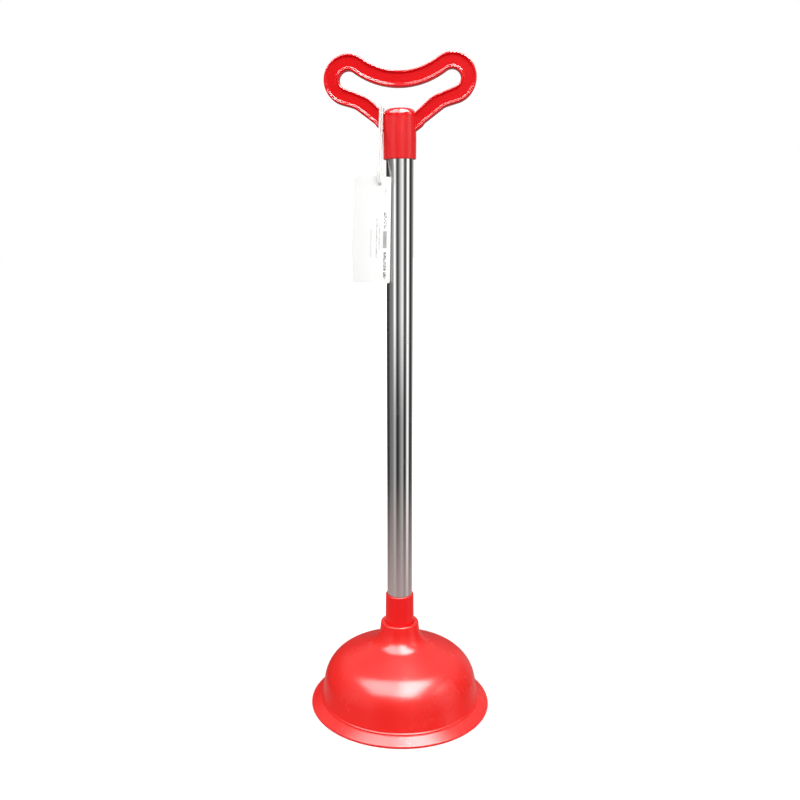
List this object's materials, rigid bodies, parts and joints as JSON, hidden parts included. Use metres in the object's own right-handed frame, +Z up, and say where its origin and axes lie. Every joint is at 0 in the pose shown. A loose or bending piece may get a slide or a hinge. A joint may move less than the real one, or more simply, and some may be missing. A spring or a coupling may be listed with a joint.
{
  "type": "toilet plunger",
  "caption": "Hand plunger: a soft bell-shaped rubber cup on a bright steel tube with a looped plastic handle and a hanging card on a string.",
  "frame": {"origin": "centre of the cup's rim, on the plane that the rim rests on", "axes": "+Z up along the tube's axis to the handle; the handle's loop lies in the XZ plane; the card hangs on the -Y side, to the -X side of the tube"},
  "size_m": [0.1614, 0.1614, 0.5593],
  "materials": {
    "cup_rubber": "satin soft rubber",
    "connector_plastic": "satin moulded",
    "tube_steel": "mirror-polished stainless steel",
    "handle_plastic": "gloss moulded",
    "card": "matt coated card",
    "string_cotton": "twisted cotton"
  },
  "bodies": {
    "cup": {"cup": "cup_rubber"},
    "stick": {"connector": "connector_plastic", "steel_tube": "tube_steel", "handle": "handle_plastic", "tag_string": "string_cotton", "string_knot": "string_cotton"},
    "tag": {"hang_tag": "card"}
  },
  "joints": [
    {"name": "plunge", "type": "slide", "parent": "cup", "child": "stick", "axis": [0, 0, 1], "range_m": [-0.03, 0], "stiffness_N_per_m": 2500, "springref_m": 0.002, "deforming": ["cup"]},
    {"name": "tag_swing", "type": "hinge", "parent": "stick", "child": "tag", "pos_m": [-0.01505, -0.0166, 0.4583], "axis": [0, 1, 0], "range_deg": [-15, 15]}
  ]
}
